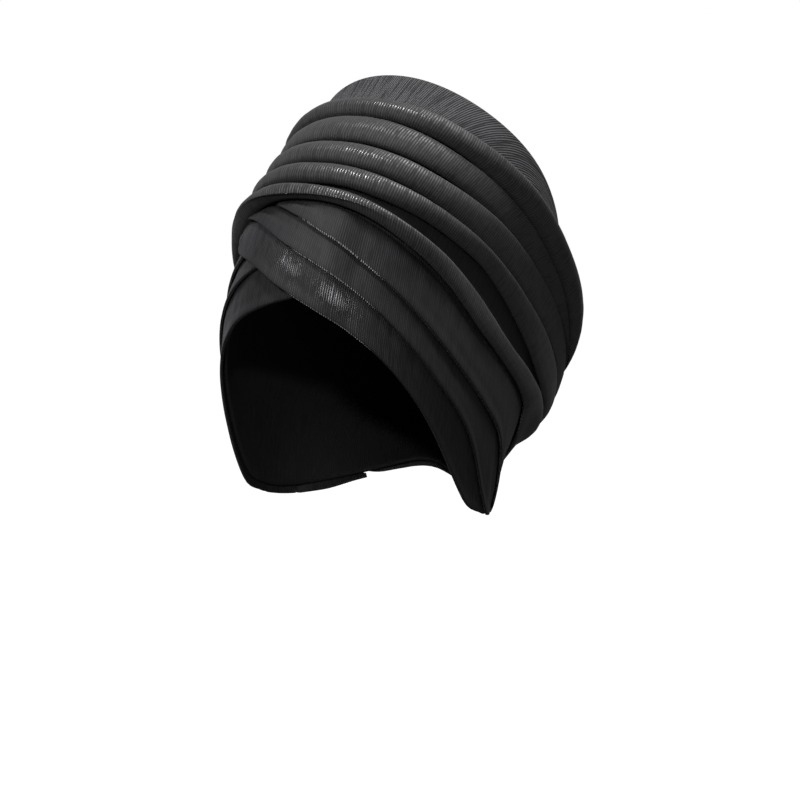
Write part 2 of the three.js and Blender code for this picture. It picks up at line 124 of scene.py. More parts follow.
# Outside of a roll from its lower foot round to its upper edge, then its flat seat back to the foot, as
# (share of the way up, share of the roll's height)
ROLL_SECTION = (
    (0.05, 0.24), (0.02, 0.54), (0.12, 0.84), (0.34, 1.04), (0.55, 1.07), (0.78, 0.86), (0.94, 0.50),
    (0.99, 0.16), (0.97, 0.00), (0.60, 0.00), (0.18, 0.00),
)

# The same for the sides of the head, where a roll lies over the one above like a pleat
PLEAT_SECTION = (
    (0.05, 0.20), (0.03, 0.42), (0.15, 0.62), (0.42, 0.82), (0.72, 0.95), (0.93, 0.94), (0.99, 0.45),
    (0.97, 0.00), (0.60, 0.00), (0.18, 0.00),
)

# Polished spots, painted pale as glints where the strength is above 1: turn, share of the way across, reach
# in degrees, reach in shares, strength
GLINTS = {
    "left_band_lower": ((2.0, 0.52, 7.0, 0.28, 1.3), (18.5, 0.47, 10.0, 0.30, 1.5)),
    "left_panel": ((42.0, 0.45, 4.0, 0.14, 0.8),),
}


class Side(Enum):
    """The side of the head that a band belongs to, as the sign of its turns."""

    LEFT = 1
    RIGHT = -1


def smoothstep(low: float, high: float, x: Grid) -> Grid:
    """Rises from 0 to 1 between low and high along 3t^2 - 2t^3."""
    t = np.clip((np.asarray(x, float) - low) / (high - low), 0, 1)
    return t * t * (3 - 2 * t)


def between(start: Pair, end: Pair, x: Grid) -> Grid:
    """Rises from 0 to 1 over the start and falls back to 0 over the end."""
    return smoothstep(*start, x) - smoothstep(*end, x)


def bell(away: Grid, reach: float) -> Grid:
    """Falls from 1 along exp(-(away / reach)^2)."""
    return np.exp(-((away / reach) ** 2))


def spline(values: tuple[float, ...], x: Grid) -> Grid:
    """Catmull-Rom curve through equally spaced values.

    Args:
        values: the values at 0, 1, 2 and so on.
        x: where to read the curve.

    Returns:
        The curve at x, carried on past its ends.
    """
    v = np.asarray(values, float)
    v = np.concatenate([[2 * v[0] - v[1]], v, [2 * v[-1] - v[-2]]])
    i = np.clip(np.floor(x).astype(int), 0, len(values) - 2)
    t = x - i
    a, b, c, d = v[i], v[i + 1], v[i + 2], v[i + 3]
    square, cube = 2 * a - 5 * b + 4 * c - d, 3 * b - a - 3 * c + d
    return 0.5 * (2 * b + (c - a) * t + square * t**2 + cube * t**3)


def fold_line(rows: Rows, turn: Grid) -> Grid:
    """A fold line's rung: straight between its rows, eased over the next few degrees.

    Args:
        rows: (turn, rung) rows of the line.
        turn: where to read it, in degrees.

    Returns:
        The mean of the straight line read at turns up to five degrees away, with binomial weights.
    """
    at, rung = zip(*rows)
    offsets, weights = (-5.0, -2.5, 0.0, 2.5, 5.0), (1, 4, 6, 4, 1)
    reads = [w * np.interp(turn + o, at, rung) for o, w in zip(offsets, weights)]
    return sum(reads) / sum(weights)


@dataclass(frozen=True)
class Unevenness:
    """Slow unevenness of hand-wrapped cloth, the same after a full turn.

    Attributes:
        waves: the fewest waves round the head, and one more than the most.
        lean: the farthest that a wave's phase leans from one side of the piece to the other, in radians.
        least: the smallest share of its size that a wave is given.
    """

    waves: tuple[int, int]
    lean: float
    least: float = 0.4

    def height(self, seed: int, turn: Grid, across: Grid) -> Grid:
        """The unevenness, about -1 to 1.

        Args:
            seed: picks each wave's size, phase and lean.
            turn: degrees round the head.
            across: share of the way across the piece.

        Returns:
            The sum of sines with n waves round the head, whose sizes fall as 1 / sqrt(n), over twice its
            root mean square.
        """
        rng = np.random.default_rng(seed)
        total = np.zeros(np.broadcast(turn, across).shape)
        power = 0.0
        for n in range(*self.waves):
            size = rng.uniform(self.least, 1.0) / math.sqrt(n)
            phase, lean = rng.uniform(0, math.tau), self.lean * rng.uniform(-1, 1)
            total += size * np.sin(n * np.radians(turn) + phase + lean * across)
            power += size * size / 2
        return total / (2 * math.sqrt(power))


@dataclass(frozen=True)
class Ladder:
    """The body that every piece lies on: nine rings from the hem to the rim, and a dome over the rim."""

    front_reach: float = 0.095
    back_reach: float = 0.155
    half_width: float = 0.080
    crown_height: float = 0.186
    nape_depth: float = 0.070
    ear_drop: float = 0.045
    dome: float = 0.013

    def ring(self, name: str, rung: Grid) -> Grid:
        """One column of the ring table at a rung."""
        return spline(RINGS[name], rung)

    def body(self, turn: Grid, rung: Grid) -> Grid:
        """Points of the body up to the rim.

        Round a ring the point runs ahead as the turn's cosine and aside as its sine, both raised to the
        ring's fullness. Height goes from the ring's front to its back with the same cosine, less a sag
        that follows the sine squared.

        Args:
            turn: degrees round the head.
            rung: height on the ladder.

        Returns:
            Points in an array with a last axis of x, y and z.
        """
        turn, rung = np.broadcast_arrays(np.asarray(turn, float), np.asarray(rung, float))
        cosine, sine = np.cos(np.radians(turn)), np.sin(np.radians(turn))
        full = self.ring("full", rung)
        ahead = np.sign(cosine) * np.abs(cosine) ** full
        aside = np.sign(sine) * np.abs(sine) ** full
        front_y = -self.front_reach * self.ring("front", rung)
        ear_y = self.back_reach * self.ring("ear", rung)
        back_y = self.back_reach * self.ring("back", rung)
        narrow = 1 - self.ring("pinch", rung) * np.minimum(0, cosine) ** 2
        front_z = self.crown_height * self.ring("rise", rung)
        back_z = -self.nape_depth * self.ring("fall", rung)
        leaning = 1 - self.ring("skew", rung) * cosine
        sag = self.ear_drop * self.ring("sag", rung) * sine**2 * leaning
        x = self.half_width * self.ring("side", rung) * narrow * aside
        y = ear_y - np.where(ahead > 0, ear_y - front_y, back_y - ear_y) * ahead
        z = (front_z + back_z) / 2 + (front_z - back_z) / 2 * ahead - sag
        return np.stack([x, y, z], axis=-1)

    def lifted(self, turn: Grid, rung: Grid, distance: Grid) -> Grid:
        """Points that stand off the body by a distance along its normal."""
        step, climb = 1.0, 0.01
        across = self.body(turn + step, rung) - self.body(turn - step, rung)
        upward = self.body(turn, rung + climb) - self.body(turn, rung - climb)
        normal = np.cross(across, upward)
        normal /= np.linalg.norm(normal, axis=-1, keepdims=True)
        return self.body(turn, rung) + normal * np.asarray(distance)[..., None]

    def rungs_per_metre(self, turn: Grid, rung: Grid) -> Grid:
        """Rungs for one metre of cloth, measured square to the rings."""
        climb = 0.01
        across = self.body(turn + 1, rung) - self.body(turn - 1, rung)
        across /= np.linalg.norm(across, axis=-1, keepdims=True)
        upward = self.body(turn, rung + climb) - self.body(turn, rung - climb)
        upward -= across * np.sum(upward * across, axis=-1, keepdims=True)
        return 2 * climb / np.linalg.norm(upward, axis=-1)

    def crown(self, turn: Grid, angle: Grid) -> Grid:
        """Points of the dome: a quarter ellipse from the rim, at 0 degrees, to the middle, at 90."""
        front, back = self.body(np.array(0.0), np.array(RIM)), self.body(np.array(180.0), np.array(RIM))
        slope = (back - front) / np.linalg.norm(back - front)
        upward = np.cross([1.0, 0.0, 0.0], slope)
        inward, up = 1 - np.cos(np.radians(angle)), np.sin(np.radians(angle))
        rim = self.body(turn, np.full_like(turn, RIM))
        flat = rim + ((front + back) / 2 - rim) * inward[..., None]
        return flat + upward * (self.dome * up)[..., None]


LADDER = Ladder()


@dataclass(frozen=True)
class Lay:
    """How the pieces lie on each other, in metres."""

    seat_gap: float = 0.5 * MM
    nape_ease: float = 0.5 * MM
    layer_gap: float = 0.35 * MM
    crease_gap: float = 0.6 * MM
    tuck: float = 5 * MM
    settle: float = 4 * MM
    clear: float = 1 * MM
    least_width: float = 2 * MM
    crossing_lift: float = 4 * MM
    end_lift: float = 3.2 * MM
    crown_swell: float = 5 * MM
    nape_turns: Pair = (90.0, 105.0)
    crossing_turns: Pair = (12.0, 26.0)
    end_rise: Pair = (-72.0, -46.0)
    end_fall: Pair = (-12.0, 8.0)

    def seat(self, turn: Grid) -> Grid:
        """Gap between the body and a piece, looser behind the ears."""
        return self.seat_gap + self.nape_ease * smoothstep(*self.nape_turns, np.abs(turn))

    def crossing(self, turn: Grid) -> Grid:
        """Extra height of the left pieces, where they cross over the right ones."""
        return self.crossing_lift * (1 - smoothstep(*self.crossing_turns, turn))

    def beside_crown(self, turn: Grid) -> Grid:
        """Extra height of roll 1 beside the crown, as the sine squared of the turn."""
        return self.crown_swell * np.sin(np.radians(turn)) ** 2

    def over_ends(self, turn: Grid) -> Grid:
        """Extra height of roll 5 where it passes over the ends of the left bands."""
        return self.end_lift * between(self.end_rise, self.end_fall, turn)


LAY = Lay()


def level(value: float, turn: Grid) -> Grid:
    """The same value at every turn."""
    return np.full_like(np.asarray(turn, float), value)


def mirrored_line(rows: Rows, turn: Grid) -> Grid:
    """A fold line that is the same on both sides of the head."""
    return fold_line(rows, np.abs(turn))


def roll_5_lower(turn: Grid) -> Grid:
    """Roll 5's lower line, which hangs a little lower on the wearer's right."""
    reach = np.abs(turn)
    return np.where(turn < 0, fold_line(ROLL_5_LOWER_RIGHT, reach), fold_line(ROLL_5_LOWER, reach))


def fill_inputs(graph: Graph, node: Node, inputs: dict[str | int, object]) -> None:
    """Links a node's inputs from sockets, or sets them to values."""
    for key, value in inputs.items():
        if isinstance(value, Socket):
            graph.links.new(value, node.inputs[key])
        else:
            node.inputs[key].default_value = value


def add_node(graph: Graph, kind: str, inputs: dict[str | int, object], **settings: str) -> Node:
    """A new node with its settings made and its inputs filled."""
    node = graph.nodes.new(f"ShaderNode{kind}")
    for name, value in settings.items():
        setattr(node, name, value)
    fill_inputs(graph, node, inputs)
    return node


@dataclass(frozen=True)
class Cloth:
    """A black stretch cloth with fine crinkled ribs, laid out by the piece's UV map.

    Attributes:
        name: the material's name.
        colour: linear base colour between the ribs.
        ridge: linear base colour on the ribs.
        roughness: roughness of the plain cloth.
        polish: how much smoother the top of a rib is.
        spacing: distance between ribs, in metres.
        length: how far a rib runs before it fades, in metres.
        depth: height of the ribs for the bump, in metres.
        sheen: weight of the soft sheen at grazing angles.
        gloss: specular level.
        painted_highlight: pale linear base colour painted on the ribs as a highlight, where the mesh's shine
            is above 1.
        sheen_roughness: how wide the soft sheen is.
        unpolished: share of the polish that is left where the mesh's shine is 0.
        wear: how much rougher and smoother worn patches make the cloth.
        thread_depth: height of the threads, as a share of the depth of the ribs.
    """

    name: str
    colour: Colour
    ridge: Colour
    roughness: float
    polish: float
    spacing: float
    length: float
    depth: float
    sheen: float
    gloss: float
    # Pale colour painted on the ribs as a highlight where the shine is above 1
    painted_highlight: Colour = (0.45, 0.45, 0.47)
    sheen_roughness: float = 0.35
    unpolished: float = 0.08
    wear: Pair = (0.06, -0.03)
    thread_depth: float = 0.2

    def material(self) -> bpy.types.Material:
        """Builds the node material.

        Returns:
            Ribs are waves along u that wander a little, so they run across the piece. A streaked noise
            along v makes each rib rise and fade, a finer one gives threads and a wide one wears the gloss
            unevenly. Where a rib stands proud it is lighter and smoother. The mesh's shine, from 0 to 1,
            polishes the ribs further; above 1 it also paints them pale, a painted highlight on the folds,
            the rolls' edge lines and the glints.
        """
        material = bpy.data.materials.new(self.name)
        material.use_nodes = True
        graph = material.node_tree
        place = add_node(graph, "UVMap", {}, uv_map="cloth").outputs["UV"]
        ribs = self.ribs(graph, place)
        streaks, threads, patches = (self.streaks(graph, place, *row) for row in self.noises())
        shine = add_node(graph, "Attribute", {}, attribute_name="shine").outputs["Fac"]

        rise = self.remap(graph, streaks, STREAK_RANGE, (LEAST_RISE, 1))
        crest = self.joined(graph, "MULTIPLY", ribs, rise)
        top = self.remap(graph, crest, TOP_RANGE, (0, 1))

        woven = self.blend(graph, top, (*self.colour, 1), self.ridge)
        # Past a shine of 1 the rib tops are painted pale: a painted highlight
        highlight_mask = self.joined(graph, "MULTIPLY", top, self.remap(graph, shine, (1, 2), (0, 1)))

        wear_and_highlight = self.remap(graph, patches, PATCH_RANGE, self.wear)
        gloss = self.joined(graph, "MULTIPLY", top, self.remap(graph, shine, (0, 1), (self.unpolished, 1)))
        matte = self.remap(graph, gloss, (0, 1), (self.roughness, self.roughness - self.polish))

        fine = self.bump(graph, threads, self.depth * self.thread_depth)
        fill_inputs(graph, graph.nodes["Principled BSDF"], {
            "Base Color": self.blend(graph, highlight_mask, woven, self.painted_highlight),
            "Roughness": self.joined(graph, "ADD", wear_and_highlight, matte),
            "Normal": self.bump(graph, crest, self.depth, {"Normal": fine}),
            "Specular IOR Level": self.gloss,
            "Sheen Weight": self.sheen,
            "Sheen Roughness": self.sheen_roughness,
        })
        return material

    def noises(self) -> tuple[tuple[float, float, float], ...]:
        """Width, length and octaves of the noise that fades the ribs, the threads and the worn patches."""
        return (
            (self.spacing * 1.3, self.length, 2.0),
            (self.spacing / 3.5, self.length / 4, 1.0),
            (self.spacing * 16, self.length * 2, 1.0),
        )

    def ribs(self, graph: Graph, place: Socket) -> Socket:
        """Waves along u, one a rib, whose lines wander by about a rib."""
        inputs = {"Vector": self.scaled(graph, place, self.spacing, self.length * 1.5), **WAVES}
        return add_node(graph, "TexWave", inputs, wave_type="BANDS", bands_direction="X").outputs["Fac"]

    def streaks(self, graph: Graph, place: Socket, width: float, length: float, detail: float) -> Socket:
        """Noise, about 0.3 to 0.7, in streaks of a width along u and a length along v, in metres."""
        inputs = {"Vector": self.scaled(graph, place, width, length), "Scale": 1.0, "Detail": detail}
        return add_node(graph, "TexNoise", inputs, noise_dimensions="2D").outputs["Fac"]

    @staticmethod
    def scaled(graph: Graph, place: Socket, width: float, length: float) -> Socket:
        """The UV map in units of a width along u and a length along v."""
        scale = (UV_SPAN / width, UV_SPAN / length, 1)
        return add_node(graph, "Mapping", {"Vector": place, "Scale": scale}).outputs["Vector"]

    @staticmethod
    def joined(graph: Graph, operation: str, first: Socket, second: Socket) -> Socket:
        """Two values added or multiplied."""
        return add_node(graph, "Math", {0: first, 1: second}, operation=operation).outputs[0]

    @staticmethod
    def blend(graph: Graph, factor: Socket, first: tuple[float, ...] | Socket, second: Colour) -> Socket:
        """A colour that goes from the first, a fixed one with its alpha or a node's, to the second."""
        inputs = {"Factor": factor, "A": first, "B": (*second, 1)}
        return add_node(graph, "Mix", inputs, data_type="RGBA").outputs["Result"]

    @staticmethod
    def remap(graph: Graph, value: Socket, given: Pair, wanted: Pair) -> Socket:
        """Carries a value from one range to another, held at its ends."""
        bounds = dict(zip(("From Min", "From Max", "To Min", "To Max"), (*given, *wanted)))
        return add_node(graph, "MapRange", {"Value": value, **bounds}).outputs["Result"]

    @staticmethod
    def bump(graph: Graph, height: Socket, depth: float, under: dict[str, Socket] | None = None) -> Socket:
        """A bump of a depth in metres, over another one if there is one."""
        inputs = {"Height": height, "Distance": depth, "Strength": 1.0, **(under or {})}
        return add_node(graph, "Bump", inputs).outputs["Normal"]


class Finish(Enum):
    """The cloths of the wrap."""

    ROLL = Cloth(
        name="roll_cloth", colour=(0.0055, 0.0054, 0.0064), ridge=(0.024, 0.0237, 0.0263), roughness=0.95,
        polish=0.64, spacing=1.6 * MM, length=9 * MM, depth=0.11 * MM, sheen=0.02, gloss=0.80,
    )
    BAND = Cloth(
        name="band_cloth", colour=(0.0060, 0.0059, 0.0070), ridge=(0.016, 0.0158, 0.0177), roughness=0.64,
        polish=0.39, spacing=1.45 * MM, length=14 * MM, depth=0.10 * MM, sheen=0.01, gloss=0.27,
    )
    CROWN = Cloth(
        name="crown_cloth", colour=(0.014, 0.014, 0.0152), ridge=(0.086, 0.086, 0.090), roughness=0.80,
        polish=0.05, spacing=1.25 * MM, length=30 * MM, depth=0.18 * MM, sheen=0.02, gloss=0.16,
    )
    CAP = Cloth(
        name="cap_cloth", colour=(0.012, 0.0118, 0.0134), ridge=(0.018, 0.0178, 0.020), roughness=0.74,
        polish=0.05, spacing=1.6 * MM, length=16 * MM, depth=0.18 * MM, sheen=0.02, gloss=0.20,
    )


class Wardrobe:
    """Makes each finish once."""

    def __init__(self) -> None:
        """Starts with nothing made."""
        self.made: dict[Finish, bpy.types.Material] = {}

    def get(self, finish: Finish) -> bpy.types.Material:
        """The material of a finish."""
        if finish not in self.made:
            self.made[finish] = finish.value.material()
        return self.made[finish]


def grid_faces(points: Grid, round_rows: bool, round_columns: bool) -> Grid:
    """Four point numbers for each quad of a grid, whose last row or column may join the first."""
    rows, columns = points.shape[:2]
    i = np.arange(rows if round_rows else rows - 1)[:, None]
    j = np.arange(columns if round_columns else columns - 1)[None, :]
    next_i, next_j = (i + 1) % rows, (j + 1) % columns
    corners = (i * columns + j, i * columns + next_j, next_i * columns + next_j, next_i * columns + j)
    return np.stack([np.broadcast_to(c, (i.size, j.size)) for c in corners], axis=-1).reshape(-1, 4)


def running_length(points: Grid, axis: int) -> Grid:
    """Length along one axis of a grid of points, from 0 at its start."""
    steps = np.linalg.norm(np.diff(points, axis=axis), axis=-1)
    lengths = np.cumsum(steps, axis=axis)
    start = np.zeros_like(np.take(lengths, [0], axis=axis))
    return np.concatenate([start, lengths], axis=axis)


def add_object(name: str, data: bpy.types.ID) -> Object:
    """A new object in the scene."""
    thing = bpy.data.objects.new(name, data)
    bpy.context.scene.collection.objects.link(thing)
    return thing


def mesh_object(
    name: str,
    points: Grid,
    faces: list[tuple[int, ...]] | Grid,
    uv: Grid,
    shine: Grid | None = None,
) -> Object:
    """A smooth mesh with a UV map called cloth.

    Args:
        name: the piece's name.
        points: x, y and z of each point.
        faces: point numbers of each face.
        uv: u and v of each face corner.
        shine: how polished the cloth is at each point, and above 1 where a highlight is painted pale on it, 0
            everywhere if left out.

    Returns:
        The object, at the origin, with its faces turned outwards.
    """
    mesh = bpy.data.meshes.new(name)
    mesh.from_pydata(points.tolist(), [], [tuple(map(int, face)) for face in faces])
    layer = mesh.uv_layers.new(name="cloth")
    layer.data.foreach_set("uv", np.ascontiguousarray(uv, np.float32).ravel())
    mesh.polygons.foreach_set("use_smooth", np.ones(len(mesh.polygons), bool))
    corners = np.array([list(face)[:3] for face in faces])
    a, b, c = (points[corners[:, k]] for k in range(3))
    if np.sum(a * np.cross(b, c)) < 0:  # most faces look towards the origin
        mesh.flip_normals()
    # Shine: polish up to 1, and above 1 a highlight painted pale on the ribs
    wear_and_highlight = mesh.attributes.new("shine", "FLOAT", "POINT")
    wear_and_highlight.data.foreach_set("value", np.zeros(len(points)) if shine is None else np.ravel(shine))
    mesh.update()
    return add_object(name, mesh)


def grid_uv(points: Grid, faces: Grid, round_rows: bool, round_columns: bool) -> Grid:
    """UV of a grid's face corners in real size: u is the mean length along its turns, v the length across.

    Closing faces are carried past the end, so that nothing folds back.
    """
    turns, places = points.shape[:2]
    around = np.concatenate([points, points[:1]], axis=0) if round_rows else points
    across = np.concatenate([points, points[:, :1]], axis=1) if round_columns else points
    along, section = running_length(around, 0).mean(axis=1), running_length(across, 1)
    row, column = faces // places, faces % places
    last_row = round_rows & (row[:, :1] == turns - 1) & (row == 0)
    last_column = round_columns & (column[:, :1] == places - 1) & (column == 0)
    u = along[np.where(last_row, turns, row)]
    v = section[row, np.where(last_column, places, column)]
    return (np.stack([u, v], axis=-1) / UV_SPAN).reshape(-1, 2)


@dataclass(frozen=True)
class Facets:
    """How finely the pieces are divided."""

    round_turns: int = 600
    roll_section: int = 56
    cap_turns: int = 360
    cap_rows: int = 64
    crown_rows: int = 44
    band_turns: int = 260
    band_rows: int = 34


FACETS = Facets()


def closed_turns(count: int) -> Grid:
    """Turns right round the head, from the back."""
    return np.linspace(-180, 180, count, endpoint=False)


class Piece:
    """A finished piece that stands for a CAD node and rides on the wrap."""

    def __init__(self, node: str, shown: Object, finish: Finish, wardrobe: Wardrobe) -> None:
        """Dresses the piece and ties it to its node."""
        self.node = node
        self.shown = shown
        shown.data.materials.append(wardrobe.get(finish))
        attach(shown, "root")
        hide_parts(node)
        LOG.info("%s: %d faces in %s", node, len(shown.data.polygons), finish.value.name)


@dataclass
class Cap:
    """The close base cloth under the wrapping: a tube from its hem up to the crown."""

    wardrobe: Wardrobe
    setback: float = 5 * MM
    wall: float = 2 * MM
    front_turn: float = 4.0
    slack: float = 0.25 * MM
    slack_seed: int = 3
    slackness: Unevenness = Unevenness((4, 40), 3.0)

    def hem(self, turn: Grid) -> Grid:
        """The rung of the cap's hem, set back behind the lowest bands' folds."""
        left = fold_line(LEFT_HAIRLINE + EAR_HAIRLINE, np.maximum(turn, self.front_turn))
        right = fold_line(RIGHT_HAIRLINE + EAR_HAIRLINE, -turn)
        hem = np.where(turn > 0, left, right)
        return hem + self.setback * LADDER.rungs_per_metre(turn, hem)

    def build(self) -> Piece:
        """Builds the tube.

        Returns:
            The piece: rows run straight from the hem to the crown, and sag inwards a little between them.
        """
        turn = closed_turns(FACETS.cap_turns)[:, None]
        share = np.linspace(0, 1, FACETS.cap_rows)[None, :]
        rung = self.hem(turn) + (CAP_TOP - self.hem(turn)) * share
        slack = self.slack * (1 + self.slackness.height(self.slack_seed, turn, share)) * np.sin(np.pi * share)
        points = LADDER.lifted(turn, rung, -slack)
        faces = grid_faces(points, True, False)
        uv = grid_uv(points, faces, True, False)
        shell = mesh_object("cap_shell", points.reshape(-1, 3), faces, uv)
        add_wall(shell, self.wall)
        piece = Piece("cap", shell, Finish.CAP, self.wardrobe)
        return piece


def add_wall(shell: Object, wall: float) -> None:
    """Gives an open surface its thickness inwards."""
    solid = shell.modifiers.new("wall", "SOLIDIFY")
    solid.thickness = wall
    solid.offset = -1
    solid.use_even_offset = True


@dataclass
class CrownTop:
    """The plain crown: a short wall above roll 1 and a low dome, tilted up and back."""

    wardrobe: Wardrobe
    wall: float = 2 * MM
    gap: float = 0.6 * MM
    wall_rows: int = 12
    last_angle: float = 86.0

    def build(self) -> Piece:
        """Builds the cup.

        Returns:
            The piece: wall rows up the body to the rim, dome rows along a quarter ellipse, and a fan of
            triangles round the middle point.
        """
        turn = closed_turns(FACETS.cap_turns)[:, None]
        foot = CAP_TOP + self.gap * LADDER.rungs_per_metre(turn, np.full_like(turn, CAP_TOP))
        share = np.linspace(0, 1, self.wall_rows, endpoint=False)[None, :]
        wall = LADDER.body(turn, foot + (RIM - foot) * share)
        angle = np.linspace(0, self.last_angle, FACETS.crown_rows)[None, :]
        turn_grid, angle_grid = np.broadcast_arrays(turn, angle)
        dome = LADDER.crown(turn_grid.astype(float), angle_grid.astype(float))
        points = np.concatenate([wall, dome], axis=1)
        turns, rows = points.shape[:2]
        faces = grid_faces(points, True, False)
        middle = LADDER.crown(np.array([0.0]), np.array([90.0]))
        flat = np.concatenate([points.reshape(-1, 3), middle], axis=0)
        rim = np.arange(turns) * rows + rows - 1
        closing = [(int(a), len(flat) - 1, int(b)) for a, b in zip(rim, np.roll(rim, -1))]
        every = [tuple(face) for face in faces] + closing
        corner = np.array([i for face in every for i in face])
        laid = np.concatenate([self.laid_flat(points, wall.shape[1]).reshape(-1, 2), np.zeros((1, 2))])
        shell = mesh_object("crown_shell", flat, every, laid[corner] / UV_SPAN)
        add_wall(shell, self.wall)
        piece = Piece("crown_top", shell, Finish.CROWN, self.wardrobe)
        return piece

    @staticmethod
    def laid_flat(points: Grid, rim: int) -> Grid:
        """The crown's cloth laid flat, so that its ribs run from front to back.

        Args:
            points: grid of points, turns by rows.
            rim: the row of the rim.

        Returns:
            Two lengths for each point: across the head, and down the crown's slope from its middle. Below
            the rim a point lies as far outside it as the cloth is long between them.
        """
        middle = points[:, -1].mean(axis=0)
        ring = points[:, rim]
        slope = ring[0] - ring[len(ring) // 2]
        slope /= np.linalg.norm(slope)
        away = points - middle
        flat = np.stack([away[..., 0], away @ slope], axis=-1)
        outward = flat[:, rim] / np.linalg.norm(flat[:, rim], axis=-1, keepdims=True)
        below = running_length(points[:, rim::-1], 1)[:, ::-1]
        flat[:, : rim + 1] = flat[:, rim][:, None] + outward[:, None] * below[..., None]
        return flat


def roll_section(rows: Rows, count: int, breadth: float = 2.0, rounds: int = 3) -> Grid:
    """A roll's closed section: a polygon of (along, out) corners read at even steps and eased.

    Args:
        rows: the corners.
        count: number of points.
        breadth: about how many times as wide as high a roll is, which makes the steps even.
        rounds: how often each point is eased towards its neighbours.
    """
    corners = np.array(rows)
    ring = np.concatenate([corners, corners[:1]])
    length = running_length(ring * np.array([breadth, 1.0]), 0)
    at = np.linspace(0, length[-1], count, endpoint=False)
    section = np.stack([np.interp(at, length, ring[:, k]) for k in range(2)], axis=-1)
    for _ in range(rounds):
        section = (np.roll(section, 1, 0) + 2 * section + np.roll(section, -1, 0)) / 4
    return section


@dataclass
class Roll:
    """A padded roll that goes round the head between two lines.

    Attributes:
        wardrobe: where its cloth comes from.
        number: its place, counted from the crown down.
        lower: rung of its lower line.
        upper: rung of its upper line.
        lift: height that it has beyond its own.

    Turns, shares of the way up (along) and shares of the height (out) between which an effect rises or
    ends are pairs. The crest is the polished front, and the edge the sharp line at the wearer's left,
    polished and painted pale along the upper edge as a highlight.
    """

    wardrobe: Wardrobe
    number: int
    lower: Line
    upper: Line
    lift: Line
    height: float = 8.6 * MM
    back_share: float = 0.64
    swell: float = 0.04
    ripple: float = 0.14 * MM
    swelling: Unevenness = Unevenness((2, 9), 0.0)
    rippling: Unevenness = Unevenness((8, 60), 4.0)
    swell_seed: int = 10
    ripple_seed: int = 60
    fill: float = 0.7
    pleating: Pair = (36.0, 72.0)
    crest_turn: float = 10.0
    crest_step: float = 2.0
    crest_reach: float = 28.0
    crest_along: Pair = (0.24, 0.44)
    crest_out: Pair = (0.2, 0.6)
    edge_along: float = 0.95
    edge_reach: float = 0.04
    edge_out: Pair = (0.3, 0.6)
    edge_start: Pair = (42.0, 62.0)
    edge_end: Pair = (118.0, 136.0)
    edge_polish_and_highlight: float = 1.35

    def build(self) -> Piece:
        """Builds the roll.

        Returns:
            The piece: its section carried round the head, lower at the back, with slow swellings and
            finer slanting wrinkles that fade towards its seat.
        """
        turn = closed_turns(FACETS.round_turns)[:, None]
        section, pleat = (roll_section(rows, FACETS.roll_section) for rows in (ROLL_SECTION, PLEAT_SECTION))
        aside = smoothstep(*self.pleating, np.abs(turn))
        along, out = (section[:, k] + (pleat[:, k] - section[:, k]) * aside for k in range(2))
        low, high = self.lower(turn), self.upper(turn)
        frontness = (1 + np.cos(np.radians(turn))) / 2
        height = self.height * (self.back_share + (1 - self.back_share) * frontness) + self.lift(turn)
        swell = 1 + self.swell * self.swelling.height(self.swell_seed + self.number, turn, along)
        ripple = self.rippling.height(self.ripple_seed + self.number, turn, along) * self.ripple * out
        stand = LAY.seat(turn) + out * height * swell + ripple
        points = LADDER.lifted(turn, low + (high - low) * along, stand)
        faces = grid_faces(points, True, True)
        uv, shine = grid_uv(points, faces, True, True), self.shine(turn, along, out)
        shown = mesh_object(f"roll_{self.number}_padding", points.reshape(-1, 3), faces, uv, shine)
        piece = Piece(f"roll_{self.number}", shown, Finish.ROLL, self.wardrobe)
        return piece

    def shine(self, turn: Grid, along: Grid, out: Grid) -> Grid:
        """How polished the roll is, and where a highlight is painted on it.

        Args:
            turn: degrees round the head.
            along: share of the way up the roll.
            out: share of the roll's height.

        Returns:
            A bell along the crest at the front, further round on the lower rolls, and a sharper line on
            the upper edge at the wearer's left side. The line rises above 1, so there a highlight is
            painted pale on the cloth.
        """
        middle = self.crest_turn + self.crest_step * (self.number - 1)
        crest = bell(turn - middle, self.crest_reach) * smoothstep(*self.crest_out, out)
        crest = crest * smoothstep(*self.crest_along, along)
        beside = between(self.edge_start, self.edge_end, turn)
        edge = bell(along - self.edge_along, self.edge_reach) * smoothstep(*self.edge_out, out)
        # The edge line goes above 1, where the ribs are painted pale: a painted highlight
        return crest + self.edge_polish_and_highlight * beside * edge


